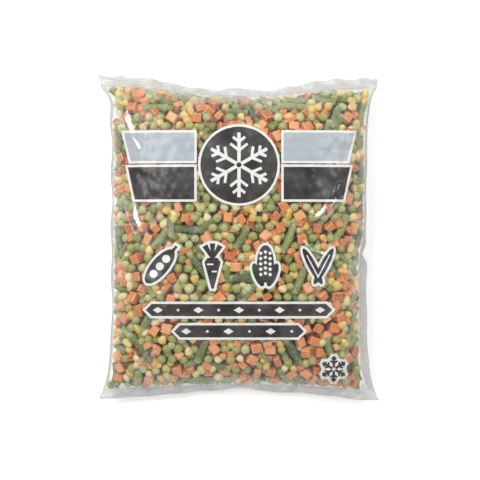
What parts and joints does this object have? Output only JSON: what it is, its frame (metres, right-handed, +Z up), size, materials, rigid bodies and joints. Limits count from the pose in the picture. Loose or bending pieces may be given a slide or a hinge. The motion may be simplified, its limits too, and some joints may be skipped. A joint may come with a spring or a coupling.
{
  "type": "bag of frozen mixed vegetables",
  "caption": "Clear film pillow bag, lying flat, filled with loose frozen peas, diced carrots, sweetcorn kernels and green bean cuts",
  "frame": {"origin": "on the table under the middle of the bag, at the middle of its length and width", "axes": "+X across the bag's width, +Y towards its top end, +Z up out of its front"},
  "size_m": [0.28, 0.324, 0.058],
  "materials": {
    "clear_film": "clear polyethylene film",
    "sealed_film": "welded double film, hazy",
    "pea": "frosted skin",
    "carrot": "frosted cut face",
    "sweetcorn": "frosted skin",
    "green_bean": "frosted skin"
  },
  "bodies": {
    "root": {"film_front": "clear_film", "film_back_left": "clear_film", "film_back_right": "clear_film", "top_end_seal": "sealed_film", "bottom_end_seal": "sealed_film", "back_lap_seal": "sealed_film", "peas_front": "pea", "carrots_front": "carrot", "corn_front": "sweetcorn", "beans_front": "green_bean", "peas_upper": "pea", "carrots_upper": "carrot", "corn_upper": "sweetcorn", "beans_upper": "green_bean", "peas_middle": "pea", "carrots_middle": "carrot", "corn_middle": "sweetcorn", "beans_middle": "green_bean", "peas_lower": "pea", "carrots_lower": "carrot", "corn_lower": "sweetcorn", "beans_lower": "green_bean", "peas_back": "pea", "carrots_back": "carrot", "corn_back": "sweetcorn", "beans_back": "green_bean"}
  },
  "joints": []
}
